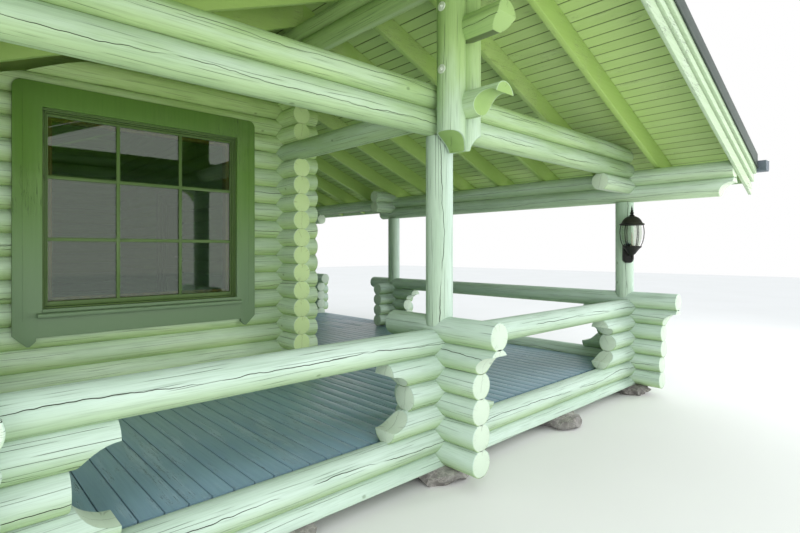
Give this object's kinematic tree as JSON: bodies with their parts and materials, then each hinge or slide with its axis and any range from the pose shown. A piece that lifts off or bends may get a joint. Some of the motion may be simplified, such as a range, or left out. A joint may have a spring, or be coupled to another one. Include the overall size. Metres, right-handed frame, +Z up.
{
  "type": "log cabin with corner porch",
  "caption": "Round-log cabin with one room, an L-shaped railed porch on posts, interlocking corner cribs, gable roof, window and hanging lantern.",
  "frame": {"origin": "centre of the whole cabin's box at ground level, under the footing stones", "axes": "+Z up, -Y towards the front gable that the picture shows, +X towards the side porch with the entry"},
  "size_m": [5.967, 8.716, 3.4637],
  "materials": {
    "painted_logs": "pale green glaze over turned pine, dry cracks showing",
    "painted_beams": "pale green glaze, satin",
    "deck_boards": "blue grey decking oil, worn",
    "floor_boards": "clear varnish",
    "bearer_wood": "bare sawn timber",
    "soffit_wood": "pale green glaze on tongued boards",
    "rafter_wood": "pale green glaze on planed timber",
    "verge_paint": "pale green glaze on planed boards",
    "trim_paint": "olive green paint, satin",
    "window_varnish": "orange brown varnish, glossy",
    "door_varnish": "brown varnish, satin",
    "roof_metal": "dark grey coated sheet steel",
    "gutter_metal": "dark grey coated, semi gloss",
    "clear_glass": "clear float glass",
    "lantern_metal": "black enamel, hammered",
    "lantern_panes": "seeded warm glass",
    "field_stone": "rough grey field stone"
  },
  "bodies": {
    "root": {"footing_stones": "field_stone", "front_wall_lower": "painted_logs", "front_wall_sides": "painted_logs", "gable_walls": "painted_logs", "back_wall": "painted_logs", "left_wall": "painted_logs", "right_wall_base": "painted_logs", "right_wall_sides": "painted_logs", "right_wall_upper": "painted_logs", "wall_plates": "painted_beams", "ridge_logs": "painted_beams", "tie_beams": "painted_beams", "eave_beam": "painted_beams", "post_corbels": "painted_beams", "porch_posts": "painted_logs", "king_posts": "painted_logs", "gable_stub_log": "painted_logs", "top_rails_across": "painted_logs", "top_rails_along": "painted_logs", "low_logs_across": "painted_logs", "sill_logs_along": "painted_logs", "low_logs_along": "painted_logs", "crib_logs_across": "painted_logs", "crib_logs_along": "painted_logs", "porch_deck": "deck_boards", "room_floor": "floor_boards", "floor_bearers": "bearer_wood", "rafters_right": "rafter_wood", "rafters_left": "rafter_wood", "soffit_boards_right": "soffit_wood", "soffit_boards_left": "soffit_wood", "roof_cover_right": "roof_metal", "roof_cover_left": "roof_metal", "verge_boards": "verge_paint", "verge_metal_edges": "roof_metal", "eave_fascias": "verge_paint", "gutters": "gutter_metal", "window_frame": "window_varnish", "window_glass": "clear_glass", "window_casing": "trim_paint", "door_frame": "door_varnish", "room_door": "door_varnish", "door_casing": "trim_paint", "lantern_body": "lantern_metal", "lantern_glass": "lantern_panes"}
  },
  "joints": []
}
